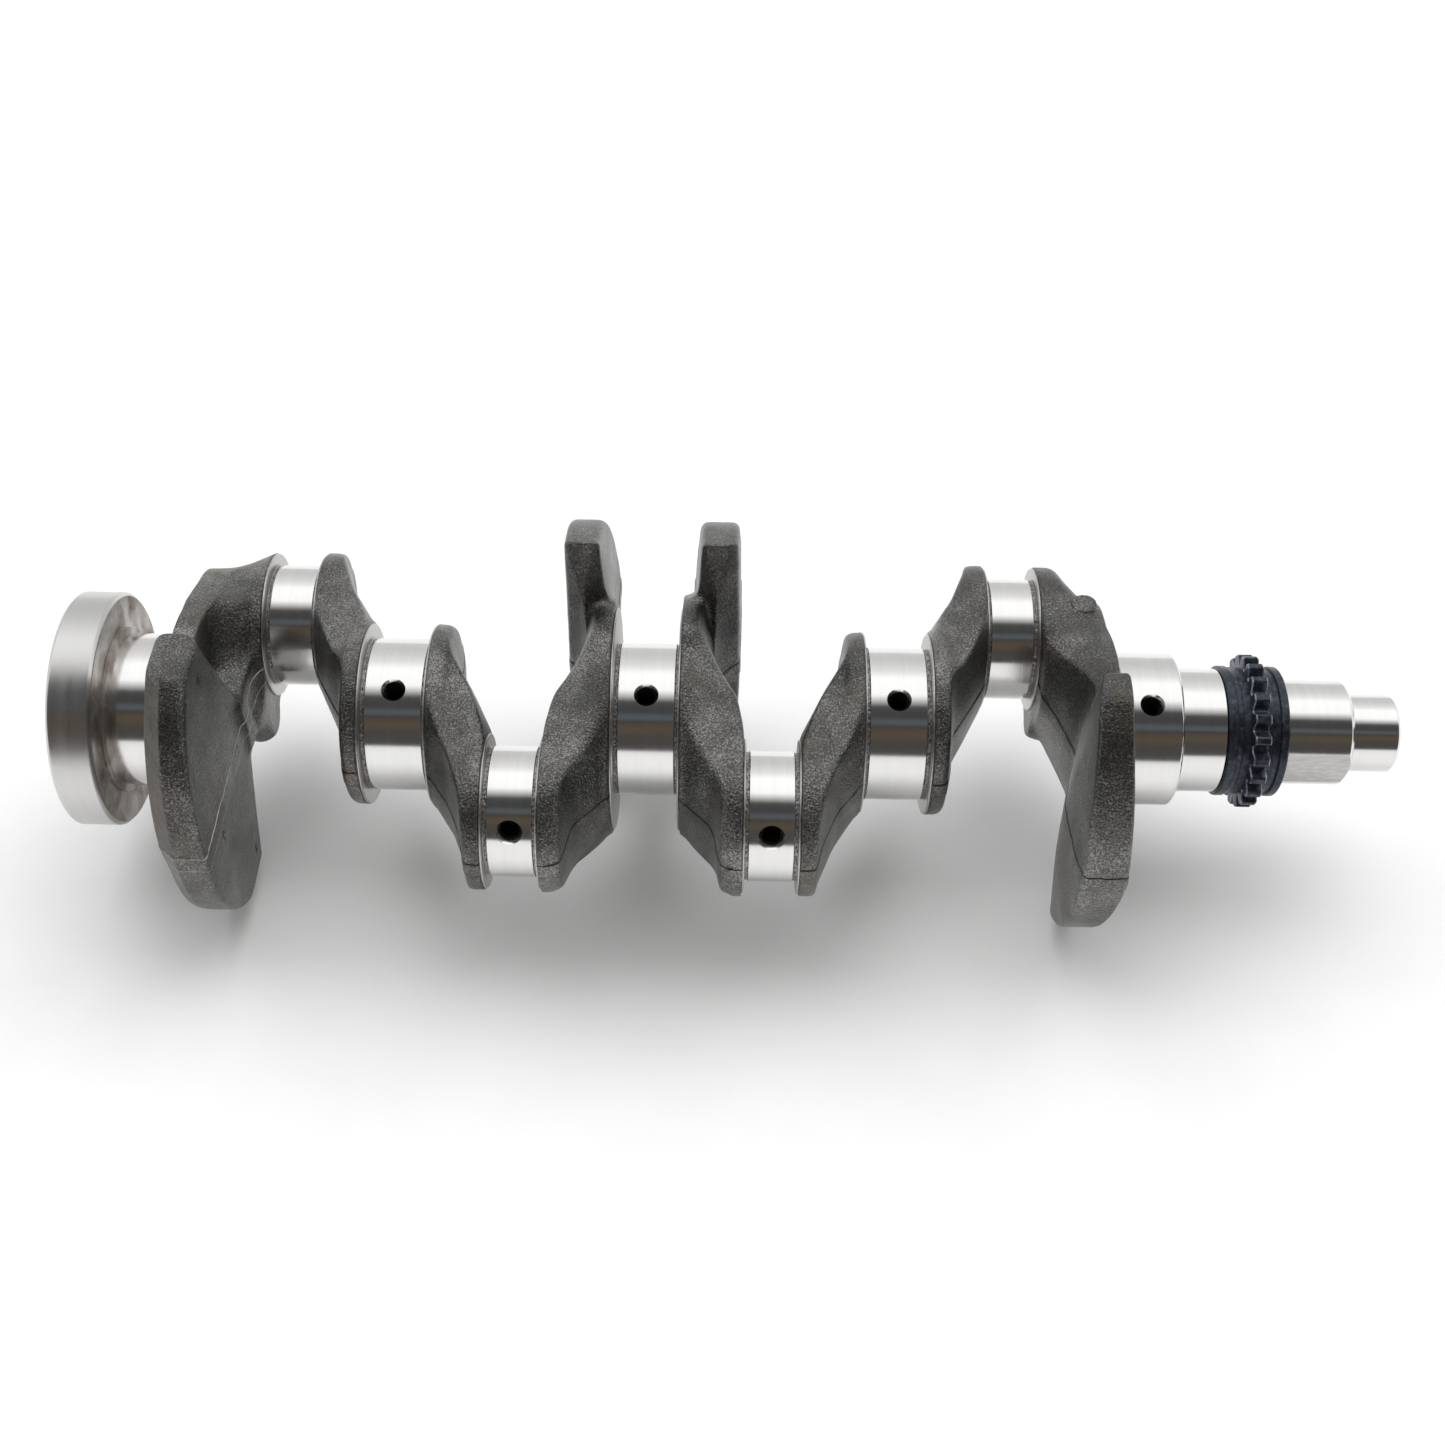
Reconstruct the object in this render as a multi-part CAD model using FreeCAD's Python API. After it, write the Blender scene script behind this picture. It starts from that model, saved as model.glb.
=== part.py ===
"""Forged crankshaft of an inline four-cylinder engine, with its pressed-on chain sprocket.

Units are millimetres. The crank axis is X, with +X towards the snout (pulley) end and
-X towards the flywheel flange. The origin is on the axis at the centre of main journal 3.
The four throws lie in the XY plane: crankpins 1 and 4 towards +Y, 2 and 3 towards -Y.
+Z is up, and Z = 0 is the plane in which the two forging dies met.
"""
import FreeCAD
import Part
import math
import os

# Bore pitch and throw
bore_pitch = 90.0
throw = 45.0

# Journals
main_r = 28.0
main_half = 11.5
pin_r = 23.0
pin_half = 9.2
groove_width = 1.3
groove_depth = 0.45
oil_hole_r = 3.25
oil_hole_depth = 18.0
main_oil_mouth_r = 4.0
pin_oil_mouth_r = 4.6
main_oil_angles = {1: 66.0, 2: 66.0, 3: 66.0, 4: 66.0, 5: -66.0}
pin_oil_angle = 32.0

# Webs, measured from the main journal's cheek towards the crankpin's cheek
web_width = bore_pitch / 2 - main_half - pin_half
land_height = 0.6
main_land_r = 33.8
thrust_land_r = 41.0
pin_land_r = 27.8
main_boss_r = 33.2
pin_boss_r = 27.3

# Counterweights
end_cw_r = 73.6
end_cw_angle = 56.0
centre_cw_r = 73.2
centre_cw_angle = 75.0
cw_main_side_draft = 4.5
cw_pin_side_draft = 1.8

# Flywheel flange
flange_r = 43.0
flange_left = -208.3
flange_right = -192.5
flange_edge = 1.2
flange_ring_r = 30.6
flange_ring_width = 1.2
flange_bolt_circle_r = 32.0
flange_bolt_count = 6
flange_bolt_r = 4.4
flange_bolt_depth = 13.0
pilot_r = 11.0
pilot_depth = 14.0

# Snout
main_1_end = 191.6
shoulder_r = 22.7
shoulder_end = 208.3
sprocket_seat_r = 19.6
pulley_seat_r = 19.15
seat_end = 255.0
nose_r = 14.2
nose_end = 273.0
snout_edge = 1.5
nose_edge = 1.0
flat_depth = 1.5
bolt_hole_r = 6.0
bolt_hole_depth = 36.0
bolt_mouth_r = 7.2

# Chain sprocket
collar_r = 23.9
rear_collar_end = 211.7
front_collar_start = 226.9
sprocket_end = 230.0
drum_r = 22.8
tooth_count = 22
tooth_start = 216.6
tooth_end = 222.4
tooth_tip_r = 28.1
tooth_root_r = 24.4
tooth_gap_at_tip = 0.62
tooth_gap_at_root = 0.26

X_AXIS = FreeCAD.Vector(1, 0, 0)


def point(x, y, z):
    """A point in the part's frame."""
    return FreeCAD.Vector(x, y, z)


def turned(profile, x=0.0, y=0.0):
    """A turned solid from (distance along X, radius) points, about an axis through y."""
    start = profile[0][0]
    end = profile[-1][0]
    corners = [(start, 0.0)] + profile + [(end, 0.0)]
    outline = [point(x + a, y + r, 0) for a, r in corners]
    outline.append(outline[0])
    face = Part.Face(Part.makePolygon(outline))
    return face.revolve(point(x, y, 0), X_AXIS, 360)


def disc(x0, x1, r, y=0.0):
    """A plain cylinder along X from x0 to x1."""
    return Part.makeCylinder(r, x1 - x0, point(x0, y, 0), X_AXIS)


def union(shapes):
    """One solid from shapes that overlap."""
    return shapes[0].fuse(shapes[1:]).removeSplitter()


def largest_solid(shape):
    """The main solid of a boolean result."""
    return max(shape.Solids, key=lambda solid: solid.Volume)


def oil_hole(x, y, surface_r, mouth_r, angle, towards):
    """A blind radial drilling with a coned mouth, at an angle above the Y direction."""
    tilt = math.radians(angle)
    way = point(0, towards * math.cos(tilt), math.sin(tilt))
    centre = point(x, y, 0)
    bottom = centre + way * (surface_r - oil_hole_depth)
    drill = Part.makeCylinder(oil_hole_r, oil_hole_depth + 2, bottom, way)
    mouth_depth = mouth_r - oil_hole_r
    sag = mouth_r ** 2 / (2 * surface_r)
    cone_start = centre + way * (surface_r - mouth_depth - sag)
    mouth = Part.makeCone(oil_hole_r, mouth_r + sag, mouth_depth + sag, cone_start, way)
    return drill.fuse(mouth)


def journal_profile(half, r):
    """A ground journal with an undercut groove beside each cheek."""
    inner = half - groove_width
    return [
        (-half, r - groove_depth), (-inner, r - groove_depth), (-inner, r),
        (inner, r), (inner, r - groove_depth), (half, r - groove_depth),
    ]


def main_journal(number):
    """Main bearing journal, numbered from the snout end."""
    x = (3 - number) * bore_pitch
    profile = journal_profile(main_half, main_r)
    if number == 1:
        end = main_1_end - x
        profile = profile[:3] + [(end - 1.2, main_r), (end, main_r - 1.2)]
    if number == 5:
        start = flange_right + flange_ring_width - x
        profile = [(start, main_r)] + profile[3:]
    body = turned(profile, x)
    return body.cut(oil_hole(x, 0, main_r, main_oil_mouth_r, main_oil_angles[number], -1))


def crankpin_place(number):
    """Centre of a crankpin along X, and the side of the axis it is on."""
    x = (2.5 - number) * bore_pitch
    side = 1 if number in (1, 4) else -1
    return x, side


def crankpin(number):
    """Connecting rod journal, numbered from the snout end."""
    x, side = crankpin_place(number)
    body = turned(journal_profile(pin_half, pin_r), x, side * throw)
    hole = oil_hole(x, side * throw, pin_r, pin_oil_mouth_r, pin_oil_angle, side)
    return body.cut(hole)


def stadium(x, low_v, low_r, high_v, high_r):
    """Closed outline round two circles in a YZ plane, low_v and high_v along the throw."""
    gap = high_v - low_v
    lean = math.asin((low_r - high_r) / gap)
    low_touch = (low_v + low_r * math.sin(lean), low_r * math.cos(lean))
    high_touch = (high_v + high_r * math.sin(lean), high_r * math.cos(lean))
    low_right = point(x, low_touch[0], low_touch[1])
    low_left = point(x, low_touch[0], -low_touch[1])
    high_right = point(x, high_touch[0], high_touch[1])
    high_left = point(x, high_touch[0], -high_touch[1])
    edges = [
        Part.LineSegment(low_right, high_right).toShape(),
        Part.Arc(high_right, point(x, high_v + high_r, 0), high_left).toShape(),
        Part.LineSegment(high_left, low_left).toShape(),
        Part.Arc(low_left, point(x, low_v - low_r, 0), low_right).toShape(),
    ]
    return Part.Wire(edges)


def arm(sections):
    """Forged arm between main and pin: a ruled body through round-ended sections."""
    wires = [stadium(*section) for section in sections]
    return Part.makeLoft(wires, True, True)


def cheek_lands(main_r_here):
    """Machined faces beside the two journals, standing just proud of the forging."""
    inset = web_width - land_height
    return [
        disc(0, land_height + 1, main_r_here),
        disc(inset - 1, web_width, pin_land_r, throw),
    ]


def pin_boss(start):
    """Round boss beside the crankpin, coned down towards the arm."""
    inset = web_width - land_height
    return turned([
        (start, pin_boss_r - 8), (start + 2.5, pin_boss_r - 1.5), (start + 4, pin_boss_r),
        (inset - 1, pin_boss_r), (inset, pin_boss_r - 0.8),
    ], 0.0, throw)


def plain_web():
    """Web with no counterweight: two round bosses joined by a slanted arm.

    It is built with the main cheek at x = 0, the pin cheek at x = web_width, pin at +Y.
    Sections are listed as for stadium: place along x, then the main and pin circles.
    """
    main_boss = turned([
        (land_height, main_boss_r - 0.8), (1.8, main_boss_r), (5.5, main_boss_r),
        (8.5, main_boss_r - 2.5), (10.8, main_boss_r - 8),
    ])
    sections = [
        (2.0, 0.0, 32.0, 6.0, 29.0),
        (5.5, 0.0, 32.0, 12.0, 31.0),
        (8.5, 2.0, 30.0, 22.0, 27.0),
        (11.0, 8.0, 27.0, 31.0, 24.5),
        (13.6, 16.0, 24.0, 40.0, 23.0),
        (17.0, 29.0, 25.0, 45.0, 25.3),
        (22.5, 40.0, 26.0, 45.0, 26.4),
    ]
    return union([arm(sections), main_boss, pin_boss(14.5)] + cheek_lands(main_land_r))


def end_web_arm(main_side_r, shoulder_v, shoulder_r, waist):
    """Arm of a web beside the first or last main journal.

    Its shoulder is the wide part between main and pin; waist is how far the arm keeps
    its full width towards the crankpin's cheek. Sections are listed as for stadium.
    """
    main_boss = turned([
        (land_height, main_side_r - 1), (2.0, main_side_r), (waist, main_side_r),
        (waist + 3.5, main_side_r - 5),
    ])
    sections = [
        (land_height, 0.0, main_side_r - 1.0, shoulder_v, shoulder_r),
        (waist, 2.0, main_side_r - 2.0, shoulder_v + 4.0, shoulder_r - 0.5),
        (waist + 5.0, 14.0, 30.0, 42.0, 27.2),
        (22.5, 38.0, 26.0, 45.0, 26.4),
    ]
    return union([arm(sections), main_boss, pin_boss(13.5)] + cheek_lands(main_land_r))


def centre_web_arm():
    """Arm of the two webs beside main journal 3, which carry its thrust faces."""
    main_boss = turned([(land_height, 40.2), (3.0, 40.2), (14.0, 36.0), (18.0, 30.0)])
    sections = [
        (land_height, 0.0, 38.0, 18.0, 27.5),
        (8.0, 0.0, 35.0, 26.0, 29.5),
        (15.0, 15.0, 30.0, 37.5, 27.0),
        (22.5, 38.0, 26.0, 45.0, 26.4),
    ]
    return union([arm(sections), main_boss, pin_boss(14.0)] + cheek_lands(thrust_land_r))


def rim_point(radius, angle):
    """A point of a counterweight's rim, as (v, z), with its angle from the -v direction."""
    turn = math.radians(angle)
    return -radius * math.cos(turn), radius * math.sin(turn)


def counterweight_outline(radius, ear_points, rim_angle):
    """Fan-shaped face: a round rim about the crank axis, two ears and the flanks."""
    upper = [rim_point(radius, rim_angle)] + ear_points
    corners = upper + [(v, -z) for v, z in reversed(upper)]
    places = [point(0, v, z) for v, z in corners]
    edges = [Part.LineSegment(a, b).toShape() for a, b in zip(places, places[1:])]
    rim = Part.Arc(places[-1], point(0, -radius, 0), places[0])
    return Part.Face(Part.Wire(edges + [rim.toShape()]))


def drafted_block(inner, outer, draft_inner, draft_outer):
    """Long bar along Y whose X faces lean away from the die plane, as draft does."""
    reach = 80.0
    corners = [
        (inner, 0), (inner + draft_inner, reach), (outer - draft_outer, reach), (outer, 0),
        (outer - draft_outer, -reach), (inner + draft_inner, -reach),
    ]
    places = [point(x, -reach, z) for x, z in corners]
    places.append(places[0])
    return Part.Face(Part.makePolygon(places)).extrude(point(0, 2 * reach, 0))


def counterweight(radius, rim_angle, ear_points, inner, outer, arm_shape):
    """Counterweight with its arm's share of the metal taken away."""
    fan = counterweight_outline(radius, ear_points, rim_angle)
    slab = fan.extrude(point(web_width, 0, 0))
    block = drafted_block(inner, outer, cw_main_side_draft, cw_pin_side_draft)
    drafted = slab.common(block)
    return largest_solid(drafted.cut(arm_shape))


def place_web(shape, number):
    """Moves a web from its own frame to its place on the crank."""
    towards_snout = number % 2 == 1
    main_number = (number + 1) // 2 if towards_snout else number // 2 + 1
    main_x = (3 - main_number) * bore_pitch
    pin_x, side = crankpin_place((number + 1) // 2)
    way = 1 if pin_x > main_x else -1
    moved = shape.copy()
    if way < 0:
        moved = moved.mirror(point(0, 0, 0), X_AXIS)
    if side < 0:
        moved = moved.mirror(point(0, 0, 0), point(0, 1, 0))
    moved.translate(point(main_x + way * main_half, 0, 0))
    return moved


def webs():
    """All eight webs and the four counterweights, numbered from the snout end."""
    plain = plain_web()
    arms = {
        1: end_web_arm(35.0, 26.0, 27.6, 8.0),
        8: end_web_arm(39.0, 35.0, 30.0, 13.0),
        4: centre_web_arm(),
    }
    arms[5] = arms[4]
    end_ears = [(-22.0, 63.0), (-8.0, 32.0)]
    centre_ears = [(-12.0, 40.0), (-4.0, 36.0)]
    weights = {
        1: counterweight(end_cw_r, end_cw_angle, end_ears, 0.4, 17.6, arms[1]),
        8: counterweight(end_cw_r, end_cw_angle, end_ears, 2.4, 20.2, arms[8]),
        4: counterweight(centre_cw_r, centre_cw_angle, centre_ears, 3.4, 22.4, arms[4]),
        5: counterweight(centre_cw_r, centre_cw_angle, centre_ears, 1.4, 20.0, arms[5]),
    }
    shapes = {}
    for number in range(1, 9):
        shapes[f"crank_web_{number}"] = place_web(arms.get(number, plain), number)
        if number in weights:
            shapes[f"counterweight_{number}"] = place_web(weights[number], number)
    return shapes


def flywheel_flange():
    """Round flange with a ring of blind tapped holes and a pilot bore in its outer face."""
    e = flange_edge
    body = turned([
        (flange_left, flange_r - e), (flange_left + e, flange_r),
        (flange_right - e, flange_r), (flange_right, flange_r - e),
        (flange_right, flange_ring_r), (flange_right + flange_ring_width, flange_ring_r),
    ])
    cuts = [disc(flange_left - 1, flange_left + pilot_depth, pilot_r)]
    for index in range(flange_bolt_count):
        turn = math.radians(30 + index * 360 / flange_bolt_count)
        y = flange_bolt_circle_r * math.cos(turn)
        z = flange_bolt_circle_r * math.sin(turn)
        start = point(flange_left - 1, y, z)
        cuts.append(Part.makeCylinder(flange_bolt_r, flange_bolt_depth + 1, start, X_AXIS))
    return body.cut(cuts)


def sprocket_shoulder():
    """Ground collar that the sprocket butts against."""
    return disc(main_1_end, shoulder_end, shoulder_r)


def sprocket_seat():
    """Length of the snout inside the sprocket."""
    return disc(shoulder_end, sprocket_end, sprocket_seat_r)


def pulley_seat():
    """Exposed larger step of the snout, with a milled flat on its -Y side."""
    body = turned([
        (sprocket_end, pulley_seat_r), (seat_end - snout_edge, pulley_seat_r),
        (seat_end, pulley_seat_r - snout_edge),
    ])
    flat = Part.makeBox(
        seat_end - sprocket_end + 2, flat_depth + 2, 2 * pulley_seat_r,
        point(sprocket_end, -pulley_seat_r - 2, -pulley_seat_r),
    )
    body = body.cut(flat)
    return body.cut(pulley_bolt_hole())


def pulley_bolt_hole():
    """Blind hole along the axis for the pulley bolt, with a coned mouth."""
    start = nose_end - bolt_hole_depth
    drill = disc(start, nose_end + 1, bolt_hole_r)
    depth = bolt_mouth_r - bolt_hole_r
    mouth = Part.makeCone(bolt_hole_r, bolt_mouth_r, depth, point(nose_end - depth, 0, 0), X_AXIS)
    return drill.fuse(mouth)


def snout_nose():
    """Smaller step at the very end of the snout."""
    body = turned([
        (seat_end, nose_r), (nose_end - nose_edge, nose_r), (nose_end, nose_r - nose_edge),
    ])
    return body.cut(pulley_bolt_hole())


def ring(x0, x1, outer_r):
    """A ring that fits the sprocket seat."""
    return disc(x0, x1, outer_r).cut(disc(x0 - 1, x1 + 1, sprocket_seat_r))


def timing_sprocket():
    """Chain sprocket: a drum with one row of short teeth for a toothed-link chain."""
    drum = disc(rear_collar_end, front_collar_start, drum_r)
    blank = turned([
        (tooth_start, tooth_tip_r - 0.6), (tooth_start + 0.6, tooth_tip_r),
        (tooth_end - 0.6, tooth_tip_r), (tooth_end, tooth_tip_r - 0.6),
    ])
    step = 2 * math.pi / tooth_count
    tip_half = 0.5 * tooth_gap_at_tip * step
    root_half = 0.5 * tooth_gap_at_root * step
    start = tooth_start - 1
    cuts = []
    for index in range(tooth_count):
        turn = step * index
        corners = [
            (tooth_root_r, turn - root_half), (tooth_tip_r + 1, turn - tip_half),
            (tooth_tip_r + 1, turn + tip_half), (tooth_root_r, turn + root_half),
        ]
        places = [point(start, r * math.cos(a), r * math.sin(a)) for r, a in corners]
        places.append(places[0])
        gap = Part.Face(Part.makePolygon(places))
        cuts.append(gap.extrude(point(tooth_end - start + 1, 0, 0)))
    teeth = blank.cut(cuts)
    whole = drum.fuse(teeth).removeSplitter()
    return whole.cut(disc(rear_collar_end - 1, front_collar_start + 1, sprocket_seat_r))


def parts():
    """Every node of the crankshaft, by name."""
    shapes = {"flywheel_flange": flywheel_flange()}
    for number in range(1, 6):
        shapes[f"main_journal_{number}"] = main_journal(number)
    for number in range(1, 5):
        shapes[f"crankpin_{number}"] = crankpin(number)
    shapes.update(webs())
    shapes["sprocket_shoulder"] = sprocket_shoulder()
    shapes["sprocket_seat"] = sprocket_seat()
    shapes["pulley_seat"] = pulley_seat()
    shapes["snout_nose"] = snout_nose()
    shapes["sprocket_rear_collar"] = ring(shoulder_end, rear_collar_end, collar_r)
    shapes["timing_sprocket"] = timing_sprocket()
    shapes["sprocket_front_collar"] = ring(front_collar_start, sprocket_end, collar_r)
    return shapes


def main():
    """Writes one STEP file for each node."""
    os.makedirs("parts", exist_ok=True)
    for name, shape in parts().items():
        largest_solid(shape).exportStep(f"parts/{name}.step")
        print(name, len(shape.Solids), round(shape.Volume), shape.isValid())


main()
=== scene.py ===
"""Looks for the forged crankshaft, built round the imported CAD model.

Shapes are worked out in millimetres and put into Blender in metres, in the CAD's own frame:
X along the crank axis towards the snout, crankpins 1 and 4 towards +Y, Z up, and Z = 0 the
plane in which the two forging dies met.

A web has its own coordinates: u from the main journal's cheek towards the crankpin's cheek,
v from the crank axis towards the crankpin, w up. Each web is a field of signed distances,
blended from simple bodies and turned into a mesh where the field is zero.
"""

import math

import bpy
import numpy as np
from mathutils import Matrix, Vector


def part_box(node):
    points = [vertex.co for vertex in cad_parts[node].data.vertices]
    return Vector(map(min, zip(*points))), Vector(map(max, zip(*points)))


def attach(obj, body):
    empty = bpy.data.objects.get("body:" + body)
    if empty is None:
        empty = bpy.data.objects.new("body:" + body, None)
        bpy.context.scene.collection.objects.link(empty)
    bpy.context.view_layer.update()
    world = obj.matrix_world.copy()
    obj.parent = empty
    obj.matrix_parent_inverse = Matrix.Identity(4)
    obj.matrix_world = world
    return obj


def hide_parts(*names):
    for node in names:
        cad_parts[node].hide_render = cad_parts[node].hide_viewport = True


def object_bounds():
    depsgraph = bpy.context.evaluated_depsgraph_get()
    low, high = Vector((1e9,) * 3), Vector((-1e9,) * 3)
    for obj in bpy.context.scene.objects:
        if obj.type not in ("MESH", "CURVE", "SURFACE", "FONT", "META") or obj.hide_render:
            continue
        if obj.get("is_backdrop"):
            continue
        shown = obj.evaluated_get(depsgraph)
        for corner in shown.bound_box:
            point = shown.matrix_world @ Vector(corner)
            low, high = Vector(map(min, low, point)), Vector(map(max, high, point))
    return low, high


MM = 0.001

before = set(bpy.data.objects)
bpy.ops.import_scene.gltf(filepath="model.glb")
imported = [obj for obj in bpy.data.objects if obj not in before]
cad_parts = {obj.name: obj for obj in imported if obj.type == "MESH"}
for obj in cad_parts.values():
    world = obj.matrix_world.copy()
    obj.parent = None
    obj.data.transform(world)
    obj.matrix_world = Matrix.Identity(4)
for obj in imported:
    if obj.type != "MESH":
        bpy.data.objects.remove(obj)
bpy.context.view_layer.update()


def node_box(node):
    """Lowest and highest corner of a CAD node, in millimetres."""
    low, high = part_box(node)
    return np.array(low) / MM, np.array(high) / MM


# Sizes read from the frame
MAIN_LOW, MAIN_HIGH = node_box("main_journal_3")
MAIN_R = MAIN_HIGH[2]
MAIN_HALF = MAIN_HIGH[0]
PIN_LOW, PIN_HIGH = node_box("crankpin_1")
PIN_R = PIN_HIGH[2]
PIN_HALF = (PIN_HIGH[0] - PIN_LOW[0]) / 2
THROW = (PIN_LOW[1] + PIN_HIGH[1]) / 2
PITCH = sum(corner[0] for corner in node_box("main_journal_2")) / 2
WEB_WIDTH = PITCH / 2 - MAIN_HALF - PIN_HALF
FLANGE_LOW, FLANGE_HIGH = node_box("flywheel_flange")
NOSE_END, NOSE_R, _ = node_box("snout_nose")[1]
SEAT_LOW, SEAT_HIGH = node_box("pulley_seat")
SEAT_R = SEAT_HIGH[1]
SHOULDER_LOW, SHOULDER_HIGH = node_box("sprocket_shoulder")
COLLAR_R = node_box("sprocket_rear_collar")[1][1]

# Journal details, in millimetres and degrees
LAND_HEIGHT = 0.6
MAIN_LAND_R = 33.3
THRUST_LAND_R = 40.9
PIN_LAND_R = 27.4
GROOVE_WIDTH = 1.3
GROOVE_DEPTH = 0.45
OIL_HOLE_R = 3.25
OIL_HOLE_DEPTH = 18.0
MAIN_MOUTH_R = 4.3
PIN_MOUTH_R = 4.6
MAIN_OIL_ANGLE = 66.0
PIN_OIL_ANGLE = 32.0

# Forging details; the skin's noise is (height, size of its features)
MAIN_BOSS_R = 33.5
THRUST_BOSS_R = 41.0
PIN_BOSS_R = 27.6
END_CW_R = 73.5
END_CW_ANGLE = 56.0
CENTRE_CW_R = 73.1
CENTRE_CW_ANGLE = 63.0
FLASH_TOP = 4.6
FLASH_BOTTOM = -2.0
FLASH_STEP = 0.22
STRIP_EDGE = 9.5
STRIP_SLOPE = 0.85
STRIP_END_V = -22.0
STRIP_TOP = 58.0
SKIN_SINK = 0.2
SKIN_NOISE = ((0.15, 11.0), (0.035, 4.0), (0.022, 1.7))

# Mesh spacing of the webs and number of steps round a turned piece
VOXEL = 0.72
TURN_STEPS = 360


# -------- fields
# A gap measured along a slant is multiplied by about 1 / hypot(1, slope), such as 0.92 for a
# slope of 0.41, which makes it a true distance.

def blend(a, b, radius):
    """Union of two fields with a rounded inner corner."""
    share = np.clip(0.5 + 0.5 * (b - a) / radius, 0, 1)
    return b + (a - b) * share - radius * share * (1 - share)


def both(a, b, radius):
    """Where both fields hold, with a rounded outer corner."""
    return -blend(-a, -b, radius)


def eased(u, places, values, softness=1.4):
    """Piecewise linear values along u with the corners eased."""
    reach = 4 * softness
    line = np.linspace(places[0] - reach, places[-1] + reach, 400)
    step = line[1] - line[0]
    half = int(math.ceil(3 * softness / step))
    bell = np.exp(-0.5 * (np.arange(-half, half + 1) * step / softness) ** 2)
    raw = np.pad(np.interp(line, places, values), half, mode="edge")
    smooth = np.convolve(raw, bell / bell.sum(), mode="valid")
    return np.interp(u, line, smooth)


def two_circle_hull(v, w, low_v, low_r, high_v, high_r):
    """Distance to the outline round two circles on the v axis."""
    gap = np.maximum(high_v - low_v, 1e-3)
    lean = np.clip((low_r - high_r) / gap, -0.98, 0.98)
    run = np.sqrt(1 - lean ** 2)
    across = np.abs(w)
    along = v - low_v
    side = run * along - lean * across
    flank = run * across + lean * along - low_r
    low_end = np.hypot(across, along) - low_r
    high_end = np.hypot(across, along - gap) - high_r
    return np.where(side < 0, low_end, np.where(side > run * gap, high_end, flank))


def arm_field(u, v, w, sections, end=1.2):
    """Forged arm through sections of (u, main circle v and r, pin circle v and r)."""
    places = [s[0] for s in sections]
    shape = [eased(u, places, [s[k] for s in sections]) for k in range(1, 5)]
    outline = two_circle_hull(v, w, *shape)
    ends = np.maximum(places[0] - u, u - places[-1])
    return both(outline, ends, end)


def boss_field(u, radius, r, start, end, back_slope):
    """Round boss from start to end along u, coned on the side that back_slope names.

    back_slope is the change of u for each millimetre of radius, positive where the cone
    opens towards +u. The cone starts 6 mm inside the barrel.
    """
    barrel = both(radius - r, np.maximum(start - u, u - end), 1.0)
    outward = radius - (r - 6)
    if back_slope > 0:
        cone = start + outward * back_slope - u
    else:
        cone = u - end + outward * -back_slope
    return both(barrel, cone / math.hypot(1, back_slope), 3.0)


def side_field(v, across, start, end):
    """Distance past the line from start to end, each (v, across)."""
    run_v, run_w = end[0] - start[0], end[1] - start[1]
    return ((across - start[1]) * run_v - (v - start[0]) * run_w) / math.hypot(run_v, run_w)


def fan_field(v, w, radius, rim_angle, ear_tip, ear_root, waist):
    """Fan-shaped outline of a counterweight on the -v side of the axis.

    The ear's top runs from the rim's end to ear_tip and its end face down to ear_root, where
    the outline turns and goes on by the two points of the waist; each is (v, across).
    """
    across = np.abs(w)
    rim = np.hypot(v, w) - radius
    turn = math.radians(rim_angle)
    rim_end = (-radius * math.cos(turn), radius * math.sin(turn))
    top = side_field(v, across, rim_end, ear_tip)
    end = side_field(v, across, ear_tip, ear_root)
    low = np.maximum(side_field(v, across, ear_root, waist[0]), side_field(v, across, *waist))
    return both(rim, both(top, blend(end, low, 8.0), 1.6), 1.6)


def capsule_field(u, v, w, start, end, r):
    """Round-ended bar between two points."""
    start, end = np.array(start, float), np.array(end, float)
    way = end - start
    share = ((u - start[0]) * way[0] + (v - start[1]) * way[1] + (w - start[2]) * way[2])
    share = np.clip(share / (way @ way), 0, 1)
    du = u - start[0] - share * way[0]
    dv = v - start[1] - share * way[1]
    dw = w - start[2] - share * way[2]
    return np.sqrt(du ** 2 + dv ** 2 + dw ** 2) - r


def pit_field(u, v, w, place, size):
    """Small slot-like pit, size being its half lengths along u, v and w."""
    scaled = np.sqrt(
        ((u - place[0]) / size[0]) ** 2
        + ((v - place[1]) / size[1]) ** 2
        + ((w - place[2]) / size[2]) ** 2
    )
    return (scaled - 1) * min(size)


def past_cheeks(u):
    """Distance past the cheeks at the web's two ends."""
    return np.maximum(LAND_HEIGHT - u, u - WEB_WIDTH + LAND_HEIGHT)


def pin_boss(u, v, w, start, back_slope):
    """Round boss at the crankpin."""
    from_pin = np.hypot(v - THROW, w)
    return boss_field(u, from_pin, PIN_BOSS_R, start, WEB_WIDTH - LAND_HEIGHT, back_slope)


def slanted_arm(u, v, w, main_r, pin_r, main_limit, pin_limit):
    """Arm whose outline runs round both bosses, cut to a slant by a cone about each axis.

    main_r and pin_r are the outline's radii; each limit lists (u, greatest distance from
    that journal's axis).
    """
    outline = two_circle_hull(v, w, 0.0, main_r, THROW, pin_r)
    main_places, main_reach = zip(*main_limit)
    pin_places, pin_reach = zip(*pin_limit)
    past_main = (np.hypot(v, w) - eased(u, main_places, main_reach, 0.8)) * 0.5
    past_pin = (np.hypot(v - THROW, w) - eased(u, pin_places, pin_reach, 0.8)) * 0.5
    cut = both(past_main, past_pin, 1.5)
    return both(both(outline, cut, 1.8), past_cheeks(u), 1.0)


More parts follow.
